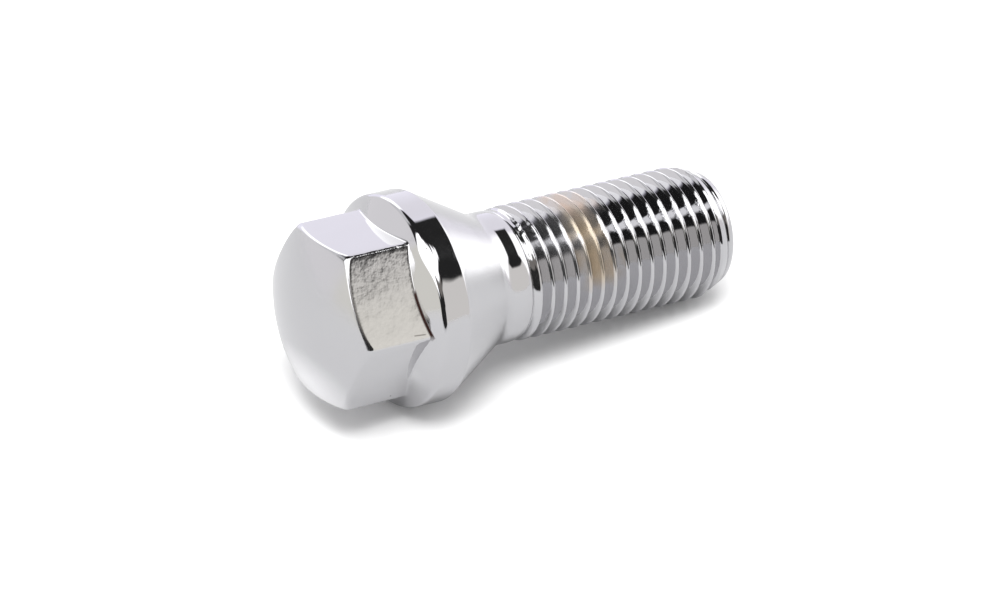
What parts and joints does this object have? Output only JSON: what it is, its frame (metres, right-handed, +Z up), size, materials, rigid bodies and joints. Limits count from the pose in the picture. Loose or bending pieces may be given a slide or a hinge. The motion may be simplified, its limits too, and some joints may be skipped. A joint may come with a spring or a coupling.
{
  "type": "wheel bolt",
  "caption": "Chrome-plated wheel bolt with a domed hexagon head, a bevelled collar, a cone seat, a plain neck and a right-hand thread with a chamfered tip, lying on its side.",
  "frame": {"origin": "centre of the bounding box, at the height of the surface that the bolt lies on", "axes": "+Z up; +X along the floor from the head to the tip; the bolt's own axis lies in the XZ plane and falls by 7.2 degrees from head to tip; +Y to the left when looking along +X"},
  "size_m": [0.0492, 0.0222, 0.0223],
  "materials": {
    "chrome": "bright plating over a forged surface, with fine pits, a brown stain on part of the thread and tarnish in the crevice at the foot of the hexagon"
  },
  "bodies": {
    "root": {"wheel_bolt": "chrome"}
  },
  "joints": []
}
